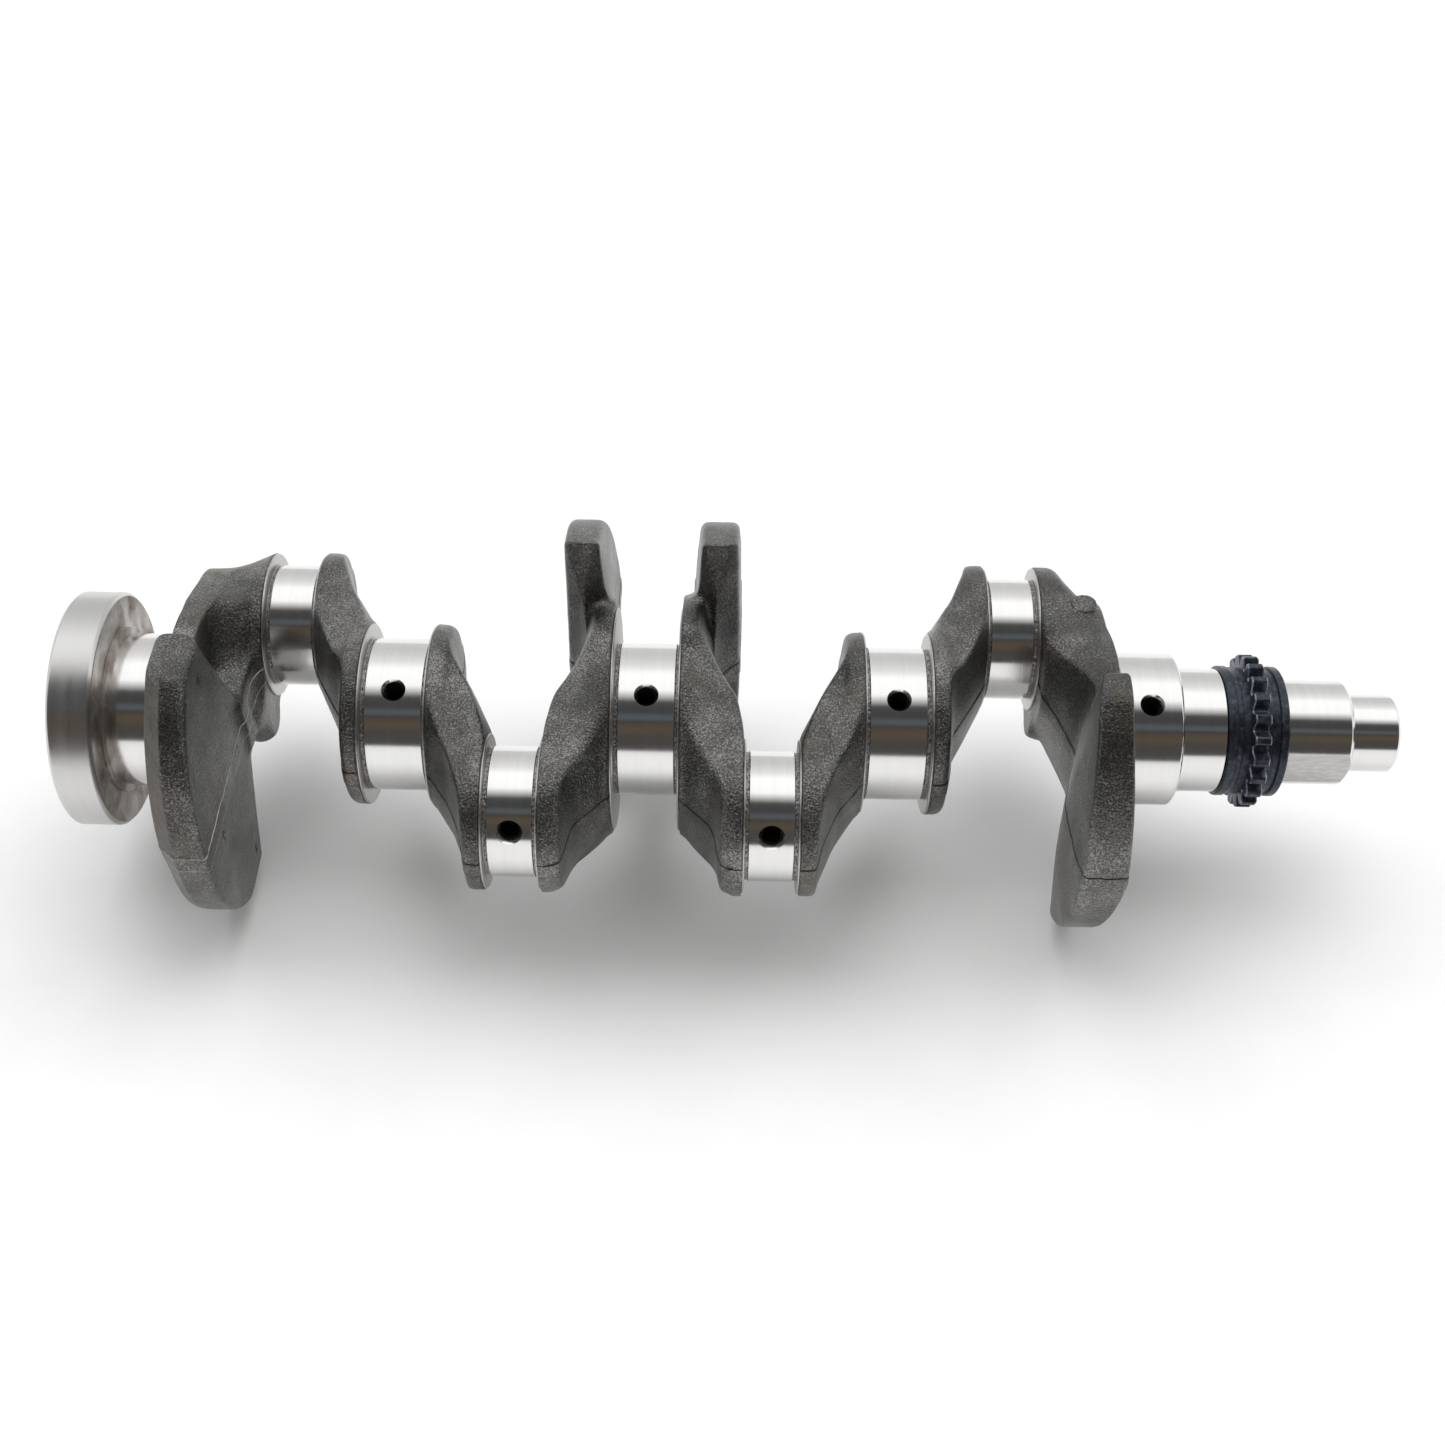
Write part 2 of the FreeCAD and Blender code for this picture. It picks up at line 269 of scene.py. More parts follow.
def plain_web(u, v, w):
    """Web with no counterweight: two bosses joined by a slanted arm."""
    main = boss_field(u, np.hypot(v, w), MAIN_BOSS_R, LAND_HEIGHT, 8.5, -0.35)
    main_r = eased(u, (4, 13), (33.2, 29.5))
    pin_r = eased(u, (10, 18), (25.0, 27.4))
    arm = slanted_arm(
        u, v, w, main_r, pin_r,
        [(0.6, 33), (10, 47), (16, 62), (19, 74)], [(0, 73), (9.6, 55), (16, 43.8), (24.3, 27.5)],
    )
    return blend(blend(main, arm, 2.5), pin_boss(u, v, w, 16, 0.35), 2.5)


def web_8(u, v, w):
    """Web beside the flywheel end: a wide plate, hollowed between its ridge and the pin."""
    radial = np.hypot(v, w)
    across = np.abs(w)
    from_pin = np.hypot(v - THROW, w)
    plate = arm_field(u, v, w, [
        (LAND_HEIGHT, 0, 42.0, 28, 32.6), (6.0, 0, 41.4, 28, 32.6), (8.5, 0, 38.5, 30, 29.5),
    ], 1.0)

    # Round end about the crankpin, narrower towards the plate
    pin = both((from_pin - PIN_BOSS_R + 0.41 * (23 - u)) * 0.92, past_cheeks(u), 1.0)

    # Ridge down the middle, and the flare that rises from the plate to the pin's cheek
    ridge = (across - 10.0 - (20.3 - u) * 0.35) * 0.94
    ridge = both(ridge, np.maximum(np.maximum(-8 - v, v - 40), u - 20.3), 2.5)
    outline = two_circle_hull(v, w, 0.0, 39.0, 34.0, 26.0)
    flare = both((from_pin - 30.0 - (20 - u) * 0.72) * 0.81, outline, 3.0)
    flare = both(flare, u - 20, 3.0)

    # Counterweight, whose faces draw back below the flash line, with its rim trimmed
    lower = np.clip((FLASH_TOP - w) / 6, 0, 1)
    inner = 2.4 + lower * (1.2 + across * 0.045)
    outer = 20.8 - across * (0.06 - 0.03 * lower)
    fan = fan_field(v, w, END_CW_R, END_CW_ANGLE, (-19.5, 61), (-16.5, 40), ((-6, 14), (-3, 0)))
    edge = 2.0 + 3.0 * np.clip((w - 35) / 20, 0, 1)
    weight = both(fan, np.maximum(inner - u, u - outer), edge)
    fade = np.clip((w + 50) / 40, 0, 1)
    trimmed = (radial - END_CW_R + np.maximum(STRIP_EDGE - u, 0) * STRIP_SLOPE * fade) * 0.76
    weight = both(weight, trimmed, 0.5)

    # Nub under the pin, on the lower side only
    nub = capsule_field(u, v, w, (16, 12, -11), (18.0, 19.5, -25.5), 7.5)
    nub = blend(nub, capsule_field(u, v, w, (16, 4, -10), (18, 14, -25), 5.5), 5.0)

    body = blend(blend(blend(plate, ridge, 4.0), flare, 7.0), pin, 5.0)
    body = blend(blend(body, nub, 8.0), weight, 6.0)
    for place in ((18.2, -31, 49), (20.2, -53, -7), (19.3, -25, -50)):
        body = both(body, -pit_field(u, v, w, place, (1.6, 1.0, 2.6)), 0.3)
    return body


def web_1(u, v, w):
    """Web beside the snout end: its counterweight swells and dips towards the crankpin."""
    radial = np.hypot(v, w)
    across = np.abs(w)
    plate = arm_field(u, v, w, [
        (LAND_HEIGHT, 0, 34.6, 26, 27.6), (4, 0, 34.4, 28, 27.8), (8, 1, 33, 30, 27.3),
        (13, 12, 30, 40, 26.8), (18, 26, 27, 44, 27), (23, 38, 26, 45, 26),
    ])
    inner = 0.6 + across * 4.2 / 62
    outer = eased(v, [-74, -62, -41, -24, -9, 2, 10, 18],
                  [16.8, 19.0, 20.0, 16.0, 10.5, 14.0, 18.0, 20.0], 3.0)
    outer = outer - across * 1.6 / 62 - 2.0 * np.clip((across - 25) / 35, 0, 1)
    fan = fan_field(v, w, END_CW_R, END_CW_ANGLE, (-30, 62.3), (-28, 42), ((0, 30), (30, 22)))
    weight = both(fan, np.maximum(inner - u, u - outer), 2.0)
    pin = pin_boss(u, v, w, 13.5, 0.4)
    main = boss_field(u, radial, 35.2, LAND_HEIGHT, 9, -0.5)
    body = blend(blend(blend(plate, main, 3.0), weight, 5.0), pin, 4.0)
    pad_axis = np.hypot(u - 7.8, v - 36.5)
    pad = both(pad_axis - 4.8, np.maximum(w - 28.6, 18 - w), 0.6)
    body = blend(body, pad, 0.5)
    return blend(body, capsule_field(u, v, w, (17, 26, -22), (19, 26, -26), 7.0), 8.0)


def centre_web(u, v, w, inner_face, outer_face, shoulder_r, ear_shift):
    """Web beside main journal 3, with a thrust face and a counterweight with tall ears."""
    radial = np.hypot(v, w)
    across = np.abs(w)
    main = boss_field(u, radial, THRUST_BOSS_R, LAND_HEIGHT, 8.0, -0.5)
    arm = slanted_arm(
        u, v, w, eased(u, (4, 16), (40.5, 34)), PIN_BOSS_R,
        [(0.6, 41), (6, 47.5), (15, 57), (20, 67), (22, 74)],
        [(6, 66), (10, 60), (14.4, 52), (17.4, 47), (21, 42), (24.3, 28)],
    )
    pin = pin_boss(u, v, w, 14, 0.4)
    waist = ((-3, 34), (20, 26))
    fan = fan_field(v, w, CENTRE_CW_R, CENTRE_CW_ANGLE, (-18.9, 70.6), (-17, 42), waist)
    inner = inner_face + across * 4.2 / 80
    outer = outer_face - across * 1.8 / 80
    weight = both(fan, np.maximum(inner - u, u - outer), 3.5)
    middle = (inner + outer) / 2 + ear_shift
    end_half = np.interp(across, [44, 70], [2.2, 4.6])
    bevel = (np.abs(u - middle) - end_half + (v + 18.9) * 1.2) * 0.64
    weight = both(weight, bevel, 1.5)
    shoulder = both(radial - shoulder_r, np.maximum(1.0 - u, u - 6.0), 2.0)
    shoulder = both(shoulder, v + 2, 6.0)
    weight = blend(weight, shoulder, 5.0)
    return blend(blend(blend(main, arm, 4.0), weight, 10.0), pin, 4.0)


def web_4(u, v, w):
    """Centre web on the snout side of main journal 3."""
    return centre_web(u, v, w, 3.6, 22.2, 45.0, -0.8)


def web_5(u, v, w):
    """Centre web on the flywheel side of main journal 3."""
    return centre_web(u, v, w, 2.0, 19.8, 41.0, 0.0)


# -------- meshes from fields

def surface_net(field, low, high, step):
    """Closed quad mesh where field(u, v, w) is zero, as (points, quads)."""
    axes = [np.arange(a, b + step, step) for a, b in zip(low, high)]
    grid = np.meshgrid(*axes, indexing="ij")
    values = field(*grid)
    inside = values < 0
    counts = [n - 1 for n in inside.shape]
    corners = [(i, j, k) for i in (0, 1) for j in (0, 1) for k in (0, 1)]
    total = np.zeros(counts, int)
    for i, j, k in corners:
        total += inside[i:i + counts[0], j:j + counts[1], k:k + counts[2]]
    active = (total > 0) & (total < 8)
    cells = np.argwhere(active)
    number = np.full(counts, -1)
    number[active] = np.arange(len(cells))
    sums = np.zeros((len(cells), 3))
    hits = np.zeros(len(cells))
    for a in corners:
        for axis in range(3):
            if a[axis]:
                continue
            b = tuple(c + (n == axis) for n, c in enumerate(a))
            here = values[tuple((cells + a).T)]
            there = values[tuple((cells + b).T)]
            cut = (here < 0) != (there < 0)
            share = np.where(cut, here / np.where(cut, here - there, 1), 0)
            place = np.tile(np.array(a, float), (len(cells), 1))
            place[:, axis] += share
            sums += place * cut[:, None]
            hits += cut
    points = (cells + sums / hits[:, None]) * step + np.array([x[0] for x in axes])
    quads = []
    for axis in range(3):
        p, q = (axis + 1) % 3, (axis + 2) % 3
        first = np.take(inside, range(counts[axis]), axis)
        second = np.take(inside, range(1, counts[axis] + 1), axis)
        places = np.argwhere(first != second)
        keep = (places[:, p] > 0) & (places[:, q] > 0)
        keep &= (places[:, p] < counts[p]) & (places[:, q] < counts[q])
        places = places[keep]
        ep, eq = np.eye(3, dtype=int)[p], np.eye(3, dtype=int)[q]
        ring = [places, places - ep, places - ep - eq, places - eq]
        quad = np.stack([number[tuple(r.T)] for r in ring], axis=1)
        outward = first[tuple(places.T)]
        quad[~outward] = quad[~outward][:, ::-1]
        quads.append(quad)
    return points, np.concatenate(quads)


def settle(points, field):
    """Moves mesh points onto the field's zero surface and returns them with its normals."""
    reach = 0.15
    for _ in range(2):
        value = field(*points.T)
        slope = np.empty_like(points)
        for axis in range(3):
            shift = np.zeros(3)
            shift[axis] = reach
            ahead = field(*(points + shift).T)
            behind = field(*(points - shift).T)
            slope[:, axis] = (ahead - behind) / (2 * reach)
        size = np.maximum(np.sum(slope ** 2, axis=1), 0.05)
        move = -slope * (value / size)[:, None]
        length = np.linalg.norm(move, axis=1, keepdims=True)
        points = points + move * np.minimum(1, 0.4 * VOXEL / np.maximum(length, 1e-9))
    normals = slope / np.linalg.norm(slope, axis=1, keepdims=True)
    return points, normals


def relax(points, quads):
    """One pass that moves each point towards the middle of its neighbours."""
    sums = np.zeros_like(points)
    hits = np.zeros(len(points))
    for a in range(4):
        for b in ((a + 1) % 4, (a + 3) % 4):
            np.add.at(sums, quads[:, a], points[quads[:, b]])
            np.add.at(hits, quads[:, a], 1)
    return points * 0.5 + sums / hits[:, None] * 0.5


def lattice_value(cell, seed):
    """Repeatable random number from -1 to 1 for each whole-number place.

    The place and the seed are mixed by an integer hash with large multipliers.
    """
    mixed = cell[:, 0] * 73856093 ^ cell[:, 1] * 19349663 ^ cell[:, 2] * 83492791
    mixed = (mixed ^ (seed * 2654435761)) & 0xFFFFFFFF
    mixed = ((mixed ^ (mixed >> 15)) * 2246822519) & 0xFFFFFFFF
    mixed = ((mixed ^ (mixed >> 13)) * 3266489917) & 0xFFFFFFFF
    return ((mixed ^ (mixed >> 16)) & 0xFFFF) / 32767.5 - 1


def soft_noise(points, size, seed):
    """Smooth noise from -1 to 1 with features of the given size."""
    scaled = points / size
    base = np.floor(scaled).astype(np.int64)
    part = scaled - base
    part = part * part * (3 - 2 * part)
    total = np.zeros(len(points))
    for corner in np.ndindex(2, 2, 2):
        weight = np.prod(np.where(corner, part, 1 - part), axis=1)
        total += weight * lattice_value(base + corner, seed)
    return total


def forged_skin(points, normals, seed):
    """Unevenness of a shot-blasted forging, and the step that the trimmed flash leaves."""
    wander = 0.5 * soft_noise(points * (1, 1, 0), 7.0, seed + 5)
    level = points[:, 2] + wander
    in_band = (level < FLASH_TOP) & (level > FLASH_BOTTOM)
    rough = sum(
        height * soft_noise(points, size, seed + index)
        for index, (height, size) in enumerate(SKIN_NOISE)
    )
    offset = rough - SKIN_SINK + FLASH_STEP * in_band
    return points + normals * offset[:, None]


def mesh_object(name, points, faces, materials, face_materials=None):
    """Object from points in millimetres and faces, shaded smooth."""
    mesh = bpy.data.meshes.new(name)
    mesh.from_pydata((np.asarray(points) * MM).tolist(), [], [list(f) for f in faces])
    for material in materials:
        mesh.materials.append(material)
    if face_materials is not None:
        mesh.polygons.foreach_set("material_index", np.array(face_materials, np.int32))
    mesh.shade_smooth()
    mesh.update()
    piece = bpy.data.objects.new(name, mesh)
    bpy.context.scene.collection.objects.link(piece)
    return piece


def add_piece(piece, nodes):
    """Makes a piece ride with the crank and stand for its CAD nodes."""
    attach(piece, "root")
    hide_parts(*nodes)


def web_place(number):
    """Main cheek's place along X, the way towards the pin along X, and the pin's side."""
    towards_snout = number % 2 == 1
    main_number = (number + 1) // 2 if towards_snout else number // 2 + 1
    pin_number = (number + 1) // 2
    main_x = (3 - main_number) * PITCH
    pin_x = (2.5 - pin_number) * PITCH
    way = 1 if pin_x > main_x else -1
    side = 1 if pin_number in (1, 4) else -1
    return main_x + way * MAIN_HALF, way, side


WEB_FIELDS = {1: web_1, 4: web_4, 5: web_5, 8: web_8}


def cut_flush(shape):
    """The web's field cut flush behind the machined cheeks at both ends."""
    def field(u, v, w):
        return both(shape(u, v, w), past_cheeks(u), 0.8)
    return field


def strip_faces(points, quads):
    """Which faces of web 8 lie on the trimmed strip round its counterweight's rim."""
    middles = points[quads].mean(axis=1)
    u, v, w = middles.T
    height = np.hypot(v, w) - END_CW_R + (STRIP_EDGE - u) * STRIP_SLOPE
    on_strip = (np.abs(height) < 0.9) & (u < STRIP_EDGE - 0.2) & (v < STRIP_END_V)
    return on_strip & (w > FLASH_TOP) & (w < STRIP_TOP)


def build_web(number, materials):
    """Forged web, with its counterweight if it has one."""
    field = cut_flush(WEB_FIELDS.get(number, plain_web))
    has_weight = number in WEB_FIELDS
    margin, far, near = 1.5, 76, 36
    reach = far if has_weight else near
    low = (-margin, -reach, -reach)
    high = (WEB_WIDTH + margin, far, reach)
    points, quads = surface_net(field, low, high, VOXEL)
    points, _ = settle(points, field)
    points = relax(points, quads)
    points, normals = settle(points, field)
    skins = strip_faces(points, quads) if number == 8 else np.zeros(len(quads))
    start, way, side = web_place(number)
    turn = np.array([way, side, 1.0])
    points = points * turn + np.array([start, 0, 0])
    normals = normals * turn
    if way * side < 0:
        quads = quads[:, ::-1]
    points = forged_skin(points, normals, 10 * number)
    nodes = [f"crank_web_{number}"] + ([f"counterweight_{number}"] if has_weight else [])
    lows, highs = zip(*(node_box(n) for n in nodes))
    points = np.clip(points, np.min(lows, axis=0), np.max(highs, axis=0))
    piece = mesh_object(f"forged_web_{number}", points, quads, materials, skins)
    add_piece(piece, nodes)


# -------- turned pieces

def round_corners(profile, radius, arc_steps=3):
    """Profile of (x, r, material) with each corner turned into a small arc."""
    made = [profile[0]]
    for before, here, after in zip(profile, profile[1:], profile[2:]):
        corner = np.array(here[:2])
        back = np.array(before[:2]) - corner
        ahead = np.array(after[:2]) - corner
        back_length, ahead_length = np.linalg.norm(back), np.linalg.norm(ahead)
        cut = min(radius, 0.35 * back_length, 0.35 * ahead_length)
        start = corner + back / back_length * cut
        end = corner + ahead / ahead_length * cut
        for step in range(arc_steps + 1):
            t = step / arc_steps
            spot = (1 - t) ** 2 * start + 2 * t * (1 - t) * corner + t ** 2 * end
            skin = before[2] if t < 0.5 else here[2]
            made.append((spot[0], spot[1], skin))
    made.append(profile[-1])
    return made


def turned_mesh(name, profile, axis_y, materials, radius=0.35, steps=None):
    """Solid turned about an axis along X, from (x, r, material) points.

    Each point's material is that of the stretch up to the next point.
    """
    steps = steps or TURN_STEPS
    points, faces, skins = [], [], []
    rounded = round_corners(profile, radius)
    turns = 2 * math.pi * np.arange(steps) / steps
    for x, r, _ in rounded:
        ring = np.stack([np.full(steps, x), axis_y + r * np.cos(turns), r * np.sin(turns)], 1)
        points.append(ring)
    for row in range(len(rounded) - 1):
        a, b = row * steps, (row + 1) * steps
        for k in range(steps):
            n = (k + 1) % steps
            faces.append((a + k, a + n, b + n, b + k))
        skins += [rounded[row][2]] * steps
    last = (len(rounded) - 1) * steps
    faces.append(tuple(range(steps - 1, -1, -1)))
    faces.append(tuple(range(last, last + steps)))
    skins += [rounded[0][2], rounded[-1][2]]
    piece = mesh_object(name, np.concatenate(points), faces, materials, skins)
    bpy.context.view_layer.update()
    return piece


def cut_out(piece, cutter):
    """Takes the cutter's volume out of the piece and removes the cutter."""
    cutter.data.update()
    change = piece.modifiers.new("cut", "BOOLEAN")
    change.operation = "DIFFERENCE"
    change.solver = "EXACT"
    change.object = cutter
    bpy.context.view_layer.update()
    graph = bpy.context.evaluated_depsgraph_get()
    made = bpy.data.meshes.new_from_object(piece.evaluated_get(graph))
    piece.modifiers.clear()
    old = piece.data
    made.name = old.name
    piece.data = made
    bpy.data.meshes.remove(old)
    bpy.data.objects.remove(cutter)


def read_vectors(items, name):
    """A vector of each of a mesh's elements, one to a row."""
    values = np.empty(len(items) * 3, np.float32)
    items.foreach_get(name, values)
    return values.reshape(-1, 3)


def read_numbers(items, name):
    """A whole number of each of a mesh's elements."""
    values = np.empty(len(items), np.int32)
    items.foreach_get(name, values)
    return values


def true_round_normals(piece, axis_y):
    """Exact normals on the turned surfaces, so that reflections stay clean beside a hole."""
    mesh = piece.data
    mesh.shade_smooth()
    mesh.set_sharp_from_angle(angle=math.radians(24))
    normals = read_vectors(mesh.corner_normals, "vector")
    places = read_vectors(mesh.vertices, "co")[read_numbers(mesh.loops, "vertex_index")]
    face_sizes = read_numbers(mesh.polygons, "loop_total")
    face_normals = np.repeat(read_vectors(mesh.polygons, "normal"), face_sizes, axis=0)
    outward = places - np.array([0, axis_y * MM, 0])
    outward[:, 0] = 0
    outward /= np.maximum(np.linalg.norm(outward, axis=1, keepdims=True), 1e-9)
    nearly_one = 1 - 0.03 ** 2
    match = np.sum(outward * face_normals, axis=1) > nearly_one
    normals[match] = outward[match]
    across = np.abs(face_normals[:, 0]) > nearly_one
    normals[across] = face_normals[across]
    mesh.normals_split_custom_set(normals.tolist())


def drill(name, x, axis_y, surface_r, mouth_r, angle, towards, materials):
    """Cutter for a radial oil hole: a drilling and a polished, flared mouth."""
    sag = mouth_r ** 2 / (2 * surface_r)
    flare = mouth_r - OIL_HOLE_R
    profile = [
        (surface_r - OIL_HOLE_DEPTH, 0.3, 1), (surface_r - OIL_HOLE_DEPTH + 1.5, OIL_HOLE_R, 1),
        (surface_r - flare - sag, OIL_HOLE_R, 0), (surface_r + 0.6, mouth_r + 0.6, 0),
        (surface_r + 3, mouth_r + 0.7, 0),
    ]
    cutter = turned_mesh(name, profile, 0.0, materials, 0.25, 64)
    tilt = math.atan2(math.sin(math.radians(angle)), towards * math.cos(math.radians(angle)))
    lie = Matrix.Rotation(tilt, 4, "X") @ Matrix.Rotation(math.pi / 2, 4, "Z")
    cutter.data.transform(Matrix.Translation((x * MM, axis_y * MM, 0)) @ lie)
    return cutter


GROUND, HOLE, CHEEK, GROOVE = 0, 1, 2, 3


def journal_profile(x, half, r, left_land, right_land):
    """Ground journal with a groove at each end, between the two machined cheeks."""
    sunk = r - GROOVE_DEPTH
    inner = half - GROOVE_WIDTH
    depth = 2.2
    return [
        (x - half - depth, left_land - 1.5, CHEEK), (x - half - 0.5, left_land, CHEEK),
        (x - half, left_land - 0.3, CHEEK), (x - half, sunk, GROOVE),
        (x - inner, sunk, GROOVE), (x - inner + 0.15, r, GROUND),
        (x + inner - 0.15, r, GROOVE), (x + inner, sunk, GROOVE),
        (x + half, sunk, CHEEK), (x + half, right_land - 0.3, CHEEK),
        (x + half + 0.5, right_land, CHEEK), (x + half + depth, right_land - 1.5, CHEEK),
    ]


def build_main(number, materials):
    """Main journal with its cheeks and oil hole."""
    x = (3 - number) * PITCH
    land = THRUST_LAND_R if number == 3 else MAIN_LAND_R
    profile = journal_profile(x, MAIN_HALF, MAIN_R, land, land)
    if number == 1:
        end = node_box("main_journal_1")[1][0]
        profile = profile[:6] + [(end - 1.0, MAIN_R, GROUND), (end, MAIN_R - 1.0, CHEEK),
                                 (end + 0.01, SHOULDER_HIGH[1] - 1, CHEEK)]
    if number == 5:
        start = node_box("main_journal_5")[0][0]
        rounded = [(start - 1.0, MAIN_R - 2, GROUND), (start - 0.2, MAIN_R, GROUND)]
        profile = rounded + profile[6:]
    piece = turned_mesh(f"ground_main_{number}", profile, 0.0, materials)
    angle = -MAIN_OIL_ANGLE if number == 5 else MAIN_OIL_ANGLE
    cut_out(piece, drill("drill", x, 0.0, MAIN_R, MAIN_MOUTH_R, angle, -1, materials))
    true_round_normals(piece, 0.0)
    add_piece(piece, [f"main_journal_{number}"])


def build_pin(number, materials):
    """Crankpin with its cheeks and oil hole."""
    x = (2.5 - number) * PITCH
    side = 1 if number in (1, 4) else -1
    y = side * THROW
    profile = journal_profile(x, PIN_HALF, PIN_R, PIN_LAND_R, PIN_LAND_R)
    piece = turned_mesh(f"ground_pin_{number}", profile, y, materials)
    cut_out(piece, drill("drill", x, y, PIN_R, PIN_MOUTH_R, PIN_OIL_ANGLE, side, materials))
    true_round_normals(piece, y)
    add_piece(piece, [f"crankpin_{number}"])


def build_flange(materials):
    """Flywheel flange with its ring, bolt holes and pilot bore."""
    left, right = FLANGE_LOW[0], FLANGE_HIGH[0]
    r = FLANGE_HIGH[2]
    edge, ring_width, ring_r = 1.2, 1.2, 30.6
    face = right - ring_width
    pilot_r, pilot_depth = 11.0, 14.0
    profile = [
        (left + pilot_depth, 1.0, CHEEK), (left + pilot_depth, pilot_r, CHEEK),
        (left + 1.0, pilot_r, CHEEK), (left, pilot_r + 1.0, CHEEK),
        (left, r - edge, GROUND), (left + edge, r, GROUND), (face - edge, r, GROUND),
        (face, r - edge, GROOVE), (face, ring_r, CHEEK), (face + ring_width, ring_r, CHEEK),
        (face + ring_width, MAIN_R - 3, CHEEK),
    ]
    piece = turned_mesh("flywheel_flange_skin", profile, 0.0, materials)
    bolt_circle_r, bolt_r, depth, count = 32.0, 4.4, 13.0, 6
    for index in range(count):
        turn = math.radians(30 + index * 360 / count)
        hole = [
            (left - 1, bolt_r + 1.6, GROUND), (left + 0.9, bolt_r, CHEEK),
            (left + depth - 1.5, bolt_r, HOLE), (left + depth, 0.5, HOLE),
        ]
        cutter = turned_mesh("drill", hole, 0.0, materials, 0.2, 48)
        spot = (0, bolt_circle_r * math.cos(turn) * MM, bolt_circle_r * math.sin(turn) * MM)
        cutter.data.transform(Matrix.Translation(spot))
        cut_out(piece, cutter)
    true_round_normals(piece, 0.0)
    add_piece(piece, ["flywheel_flange"])


def build_snout(materials):
    """Shoulder, sprocket seat, pulley seat with its milled flat, and the nose."""
    shoulder_r = SHOULDER_HIGH[1]
    profile = [
        (SHOULDER_LOW[0] - 0.5, shoulder_r - 1, GROUND), (SHOULDER_LOW[0], shoulder_r, GROUND),
        (SHOULDER_HIGH[0] - 0.4, shoulder_r, GROUND),
        (SHOULDER_HIGH[0], shoulder_r - 0.4, CHEEK), (SHOULDER_HIGH[0], SEAT_R, CHEEK),
        (SHOULDER_HIGH[0] + 2, SEAT_R - 1, CHEEK),
    ]
    shoulder = turned_mesh("ground_shoulder", profile, 0.0, materials, 0.2)
    true_round_normals(shoulder, 0.0)
    add_piece(shoulder, ["sprocket_shoulder"])

    edge, nose_edge, hole_r, hole_depth = 1.5, 1.0, 6.0, 36.0
    end = SEAT_HIGH[0]
    profile = [
        (SHOULDER_HIGH[0], SEAT_R, GROUND), (end - edge, SEAT_R, GROUND),
        (end, SEAT_R - edge, CHEEK), (end, NOSE_R - 0.3, GROOVE),
        (end + 0.8, NOSE_R - 0.3, GROUND), (end + 1.0, NOSE_R, GROUND),
        (NOSE_END - nose_edge, NOSE_R, GROUND), (NOSE_END, NOSE_R - nose_edge, CHEEK),
        (NOSE_END, hole_r + 1.2, GROUND), (NOSE_END - 1.2, hole_r, HOLE),
    ]
    thread_pitch, crest_r = 2.0, hole_r - 0.7
    turns = int((hole_depth - 6) / thread_pitch)
    for index in range(turns):
        x = NOSE_END - 2 - index * thread_pitch
        profile += [(x, hole_r, HOLE), (x - thread_pitch / 2, crest_r, HOLE)]
    profile += [(NOSE_END - hole_depth + 3, crest_r, HOLE), (NOSE_END - hole_depth, 0.4, HOLE)]
    snout = turned_mesh("ground_snout", profile, 0.0, materials, 0.15)
    flat_depth, block_r = 1.5, 30.0
    flat = [
        (SEAT_LOW[0], 8.0, CHEEK), (SEAT_LOW[0] + 0.01, block_r, CHEEK),
        (end + 0.6, block_r, CHEEK), (end + 0.61, 8.0, CHEEK),
    ]
    cutter = turned_mesh("drill", flat, 0.0, materials, 0.0, 4)
    half_side = block_r * math.sin(math.pi / 4)
    lift = Matrix.Translation((0, (-SEAT_R + flat_depth - half_side) * MM, 0))
    cutter.data.transform(lift @ Matrix.Rotation(math.pi / 4, 4, "X"))
    cut_out(snout, cutter)
    true_round_normals(snout, 0.0)
    add_piece(snout, ["sprocket_seat", "pulley_seat", "snout_nose"])


